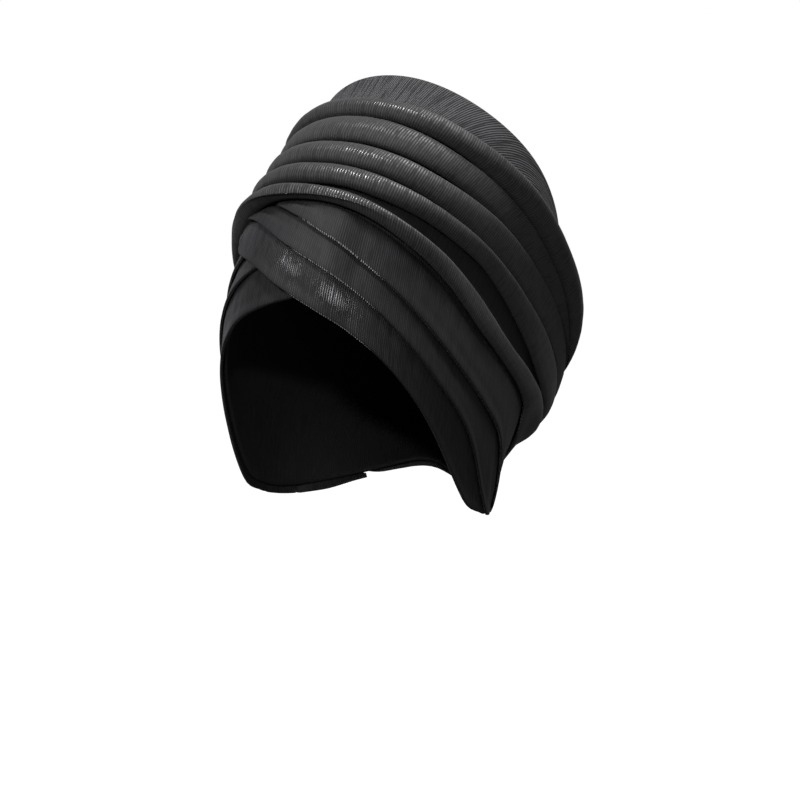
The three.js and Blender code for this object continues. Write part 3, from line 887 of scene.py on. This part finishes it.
@dataclass
class Band:
    """A flat band between its own lower fold and the piece above, folded over at its lower edge.

    Attributes:
        wardrobe: where its cloth comes from.
        node: the CAD node that it stands for.
        side: the side of the head that it belongs to.
        start: its first turn, towards the far side.
        end: its last turn, behind the ear.
        lower: rows of its lower fold.
        upper: rows of the line of the piece above.
        tucks: turns over which it begins to tuck under the piece above.
        covers: turns over which it stops lying on the piece below.
        seed: picks its unevenness.
        flat: length and width of its cloth laid flat, not used.
        fold_polish_and_highlight: polish along its fold at the front, and above 1 a highlight painted pale
            there.
        glints: its polished spots, painted pale as highlights where their strength is above 1.
    """

    wardrobe: Wardrobe
    node: str
    side: Side
    start: float
    end: float
    lower: Rows
    upper: Rows
    tucks: Pair | None
    covers: Pair | None
    seed: int
    flat: Pair
    fold_polish_and_highlight: float
    glints: tuple[tuple[float, float, float, float, float], ...]
    wall: float = 1.1 * MM
    fold: float = 2.0 * MM
    nose: float = 1.0 * MM
    thinning: float = 7.0
    edge_rounding: float = 0.6 * MM
    least_edge: float = 0.02
    first_row: float = 0.004
    drift: float = 0.22 * MM
    drifting: Unevenness = Unevenness((9, 70), 3.0)
    gather: float = 0.7 * MM
    gather_turns: Pair = (26.0, 4.0)
    gather_pace: float = 1.8
    gathering: Unevenness = Unevenness((30, 70), 14.0)
    gather_seed: int = 9
    line_reach: float = 0.7 * MM
    line_start: Pair = (-4.0, 6.0)
    line_end: Pair = (24.0, 44.0)
    ragged: float = 0.6
    least_ragged: float = 0.5
    raggedness: Unevenness = Unevenness((50, 140), 20.0)
    ragged_seed: int = 3

    def base(self, turn: Grid) -> Grid:
        """Height of the band's underside over the body."""
        seat = LAY.seat(turn)
        return seat + LAY.crossing(turn) if self.side is Side.LEFT else seat

    def edges(self, turn: Grid) -> tuple[Grid, Grid, Grid]:
        """The band's lower rung, its upper rung and its rungs a metre at each turn."""
        low = fold_line(self.lower, turn)
        scale = LADDER.rungs_per_metre(turn, (low + fold_line(self.upper, turn)) / 2)
        there = self.side.value * turn
        first = np.ones_like(turn)
        step = np.linalg.norm(LADDER.body(there + 1, first) - LADDER.body(there, first), axis=-1)
        climb = (roll_5_lower(there + 1) - roll_5_lower(there - 1)) / 2 / scale
        ceiling = roll_5_lower(there) - LAY.crease_gap * np.hypot(1, climb / step) * scale
        tuck = LAY.tuck * smoothstep(*self.tucks, turn) if self.tucks else 0
        high = np.minimum(fold_line(self.upper, turn) + tuck * scale, ceiling)
        return low, np.maximum(high, low + LAY.least_width * scale), scale

    def build(self) -> Piece:
        """Builds the band.

        Returns:
            The piece: an outer and an inner surface that meet at the fold and at the tucked edge, closed at
            both ends.
        """
        turn = np.linspace(self.start, self.end, FACETS.band_turns)[:, None]
        share = np.concatenate([[0.0], np.geomspace(self.first_row, 1, FACETS.band_rows - 1)])[None, :]
        low, high, scale = self.edges(turn)
        width = (high - low) / scale
        s = width * share
        middle, half = self.section(turn, s, width)
        there, rung = self.side.value * turn, low + s * scale
        drift = self.drift * self.drifting.height(self.seed, turn, share) * np.sin(np.pi * share)
        outer = LADDER.lifted(there, rung, middle + half + drift + self.gathers(turn, share))
        inner = LADDER.lifted(there, rung, middle - half)
        points = np.concatenate([outer, inner[:, ::-1]], axis=1)
        outside = self.shine(turn, s, share)
        shine = np.concatenate([outside, outside[:, ::-1]], axis=1)
        turns, places = points.shape[:2]
        faces = grid_faces(points, False, True)
        first_end = tuple(range(places))
        last_end = tuple(range(turns * places - 1, (turns - 1) * places - 1, -1))
        uv = np.concatenate([grid_uv(points, faces, False, True), np.zeros((2 * places, 2))])
        every = [tuple(face) for face in faces] + [first_end, last_end]
        shown = mesh_object(f"{self.node}_cloth", points.reshape(-1, 3), every, uv, shine)
        piece = Piece(self.node, shown, Finish.BAND, self.wardrobe)
        return piece

    def section(self, turn: Grid, s: Grid, width: Grid) -> tuple[Grid, Grid]:
        """The band's section across its width.

        Args:
            turn: degrees from the front, towards the band's side.
            s: distance above the fold, in metres.
            width: the band's width at each turn, in metres.

        Returns:
            Height of the cloth's middle over the body, and half its thickness. Above the fold the cloth is
            a round nose of the fold's thickness, then thins to one wall, and it rides over the tucked edge
            below before it settles on the cap.
        """
        squeeze = np.minimum(1, width / (2 * LAY.tuck))
        nose = self.nose * squeeze
        covers = 1 - smoothstep(*self.covers, turn) if self.covers else 0 * turn
        step = squeeze * (LAY.tuck + LAY.clear)
        settled = np.maximum(squeeze * (LAY.tuck + LAY.settle), width - LAY.tuck - 2 * LAY.clear)
        settle = smoothstep(0, 1, (s - step) / (settled - step))
        base = self.base(turn) + covers * (self.wall + LAY.layer_gap) * (1 - settle)
        roundness = np.sqrt(np.clip(1 - (1 - np.minimum(s / nose, 1)) ** 2, 0, 1))
        thinned = smoothstep(0, 1, (s - nose) / (self.thinning * nose))
        thick = self.wall + (self.fold - self.wall) * (1 - thinned)
        edge = np.sqrt(np.clip(1 - np.clip(1 - (width - s) / self.edge_rounding, 0, 1) ** 2, 0, 1))
        return base + thick / 2, thick / 2 * roundness * np.maximum(edge, self.least_edge)

    def shine(self, turn: Grid, s: Grid, share: Grid) -> Grid:
        """How polished the band is, and where a highlight is painted pale on it: bells at its glints, and a
        line along its fold at the front.

        Args:
            turn: degrees from the front, towards the band's side.
            s: distance above the fold, in metres.
            share: share of the way across.

        Returns:
            The shine at each point. A bell falls off raggedly, by an unevenness of its width.
        """
        ahead = between(self.line_start, self.line_end, turn)
        # Along the fold at the front the shine goes above 1: a highlight painted pale
        shine = self.fold_polish_and_highlight * bell(s, self.line_reach) * ahead
        ragged = 1 + self.ragged * self.raggedness.height(self.seed + self.ragged_seed, turn, share)
        ragged = np.maximum(self.least_ragged, ragged)
        # Glints of strength above 1 are painted pale: painted highlights
        for glint_turn, glint_share, turn_reach, share_reach, strength in self.glints:
            away = ((turn - glint_turn) / turn_reach) ** 2 + ((share - glint_share) / share_reach) ** 2
            shine = np.maximum(shine, strength * np.exp(-away * ragged))
        return shine

    def gathers(self, turn: Grid, share: Grid) -> Grid:
        """Small wrinkles where the band is drawn in towards its end behind the ear."""
        near = smoothstep(*(self.end - before for before in self.gather_turns), turn)
        waves = self.gathering.height(self.seed + self.gather_seed, self.gather_pace * turn, share)
        return self.gather * near * np.abs(waves) * np.sin(np.pi * share)


@dataclass
class Wrap:
    """The whole turban headscarf."""

    wardrobe: Wardrobe
    seed_step: int = 7

    def rolls(self) -> list[Roll]:
        """The five rolls, counted from the crown down."""
        flat = partial(level, 0.0)
        lines = (
            (partial(level, 6.0), partial(level, 7.0), LAY.beside_crown),
            (partial(level, 5.0), partial(level, 6.0), flat),
            (partial(level, 4.0), partial(level, 5.0), flat),
            (partial(mirrored_line, ROLL_4_LOWER), partial(level, 4.0), flat),
            (roll_5_lower, partial(mirrored_line, ROLL_5_UPPER), LAY.over_ends),
        )
        return [Roll(self.wardrobe, number, *line) for number, line in enumerate(lines, start=1)]

    def bands(self) -> list[Band]:
        """The three flat pieces of each side, from the lowest up."""
        left, right = LEFT_HAIRLINE + EAR_HAIRLINE, RIGHT_HAIRLINE + EAR_HAIRLINE
        # Name, lower fold (the hairline if none), line above, last turn, tucks, covers, flat size
        layers = (
            ("band_lower", None, LOWER_FOLD, 93.5, (-27, -12), None, (0.185, 0.030)),
            ("band_upper", LOWER_FOLD, UPPER_FOLD, 110, (-9, 6), (93, 100), (0.20, 0.030)),
            ("panel", UPPER_FOLD, ROLL_5_LOWER, 140, None, (109, 116), (0.22, 0.045)),
        )
        # Side, its name, hairline, first turns from the lowest piece up, first seed, polish and painted
        # highlight of the folds
        sides = (
            (Side.LEFT, "left", left, (-34, -26, -9), 33, 3.0),
            (Side.RIGHT, "right", right, (-10, 2, 15), 30, 0.0),
        )
        return [
            Band(
                self.wardrobe, f"{side_name}_{name}", side, start, end, lower or hem, upper, tucks, covers,
                seed=seed + self.seed_step * layer, flat=flat, fold_polish_and_highlight=fold_polish_and_highlight,
                glints=GLINTS.get(f"{side_name}_{name}", ()),
            )
            for side, side_name, hem, starts, seed, fold_polish_and_highlight in sides
            for layer, (row, start) in enumerate(zip(layers, starts))
            for name, lower, upper, end, tucks, covers, flat in [row]
        ]

    def build(self) -> None:
        """Builds every piece, from the cap outwards."""
        Cap(self.wardrobe).build()
        CrownTop(self.wardrobe).build()
        for roll in self.rolls():
            roll.build()
        for band in self.bands():
            band.build()


@dataclass(frozen=True)
class PhotoCamera:
    """The camera of the photograph, fitted to the wrap."""

    azimuth: float = 31.925
    elevation: float = 7.496
    distance: float = 1.7
    focal_pixels: float = 2790.5
    image_pixels: float = 800.0
    sensor_mm: float = 36.0
    shift_right: float = -0.01818
    shift_up: float = 0.01012
    clip: Pair = (0.05, 60.0)

    def build(self) -> Object:
        """Makes the scene's camera.

        Returns:
            A camera whose back axis points from the head to the camera, moved sideways and up so that the
            wrap falls where it does in the photograph.
        """
        a, e = math.radians(self.azimuth), math.radians(self.elevation)
        right = Vector((math.cos(a), math.sin(a), 0))
        up = Vector((-math.sin(a) * math.sin(e), math.cos(a) * math.sin(e), math.cos(e)))
        back = Vector((math.sin(a) * math.cos(e), -math.cos(a) * math.cos(e), math.sin(e)))
        data = bpy.data.cameras.new("photo_camera")
        data.sensor_width = self.sensor_mm
        data.lens = self.focal_pixels / self.image_pixels * self.sensor_mm
        data.clip_start, data.clip_end = self.clip
        camera = add_object("photo_camera", data)
        turned = Matrix((right, up, back)).transposed().to_4x4()
        place = back * self.distance - right * self.shift_right - up * self.shift_up
        camera.matrix_world = Matrix.Translation(place) @ turned
        bpy.context.scene.camera = camera
        return camera


@dataclass(frozen=True)
class Lamp:
    """A soft box that looks at the wrap.

    Attributes:
        name: the lamp's name.
        direction: where it stands, seen from the wrap.
        distance: how far away, in metres.
        size: width and height, in metres.
        power: watts.
        tint: linear colour.
    """

    name: str
    direction: tuple[float, float, float]
    distance: float
    size: Pair
    power: float
    tint: Colour = (1, 1, 1)

    def build(self, target: Vector) -> None:
        """Makes the lamp and turns it to the target."""
        data = bpy.data.lights.new(self.name, "AREA")
        data.shape = "RECTANGLE"
        data.size, data.size_y = self.size
        data.energy = self.power
        data.color = self.tint
        lamp = add_object(self.name, data)
        away = Vector(self.direction).normalized()
        turned = away.to_track_quat("Z", "Y").to_matrix().to_4x4()
        lamp.matrix_world = Matrix.Translation(target + away * self.distance) @ turned


LAMPS = (
    Lamp("overhead_box", (0.05, -0.27, 0.96), 1.2, (0.15, 0.24), 14),
    Lamp("left_window", (-0.40, -0.69, 0.61), 1.5, (0.07, 0.09), 7),
    Lamp("front_window", (0.38, -0.85, 0.37), 1.5, (0.07, 0.09), 6),
    Lamp("back_box", (0.34, 0.72, 0.92), 1.6, (0.7, 0.7), 19),
    Lamp("left_box", (-1.0, 0.30, 0.05), 1.5, (0.5, 1.0), 3, (0.96, 0.95, 1.0)),
)


@dataclass(frozen=True)
class Studio:
    """A pale floor, a pale surround and the lamps."""

    floor_drop: float = 0.17
    floor_size: float = 40.0
    paper: float = 0.1
    paper_roughness: float = 0.9
    glow: float = 0.99
    surround: float = 0.13
    shown: float = 1.0

    def build(self) -> None:
        """Makes the floor, the surround and the lamps."""
        low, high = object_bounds()
        self.floor(low.z - self.floor_drop)
        self.world()
        for lamp in LAMPS:
            lamp.build((low + high) / 2)
        view = bpy.context.scene.view_settings
        view.view_transform = "Standard"
        view.look = "None"

    def floor(self, height: float) -> None:
        """Makes the plain floor, pale by itself, which neither lights the cloth nor shows in its gloss."""
        half = self.floor_size / 2
        corners = [(x * half, y * half, height) for x, y in ((-1, -1), (1, -1), (1, 1), (-1, 1))]
        mesh = bpy.data.meshes.new("floor")
        mesh.from_pydata(corners, [], [(0, 1, 2, 3)])
        floor = add_object("floor", mesh)
        material = bpy.data.materials.new("floor_paper")
        material.use_nodes = True
        graph = material.node_tree
        fill_inputs(graph, graph.nodes["Principled BSDF"], {
            "Base Color": (self.paper, self.paper, self.paper, 1),
            "Roughness": self.paper_roughness,
            "Specular IOR Level": self.paper,
            "Emission Color": WHITE,
            "Emission Strength": self.glow,
        })
        mesh.materials.append(material)
        floor.visible_glossy = False
        floor.visible_diffuse = False
        floor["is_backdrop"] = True

    def world(self) -> None:
        """Makes the surround: pale where it is seen, dimmer where it lights the cloth."""
        world = bpy.data.worlds.new("studio")
        bpy.context.scene.world = world
        world.use_nodes = True
        graph = world.node_tree
        graph.nodes.clear()
        lighting, seen = (
            add_node(graph, "Background", {"Color": WHITE, "Strength": strength}).outputs["Background"]
            for strength in (self.surround, self.shown)
        )
        ray = add_node(graph, "LightPath", {}).outputs["Is Camera Ray"]
        mix = add_node(graph, "MixShader", {"Fac": ray, 1: lighting, 2: seen})
        add_node(graph, "OutputWorld", {"Surface": mix.outputs["Shader"]})


def main() -> None:
    """Builds the camera, the wrap and the studio."""
    logging.basicConfig(level=logging.INFO, format="%(name)s: %(message)s")
    PhotoCamera().build()
    Wrap(Wardrobe()).build()
    Studio().build()
    LOG.info("headscarf finished")


if __name__ == "__main__":
    main()
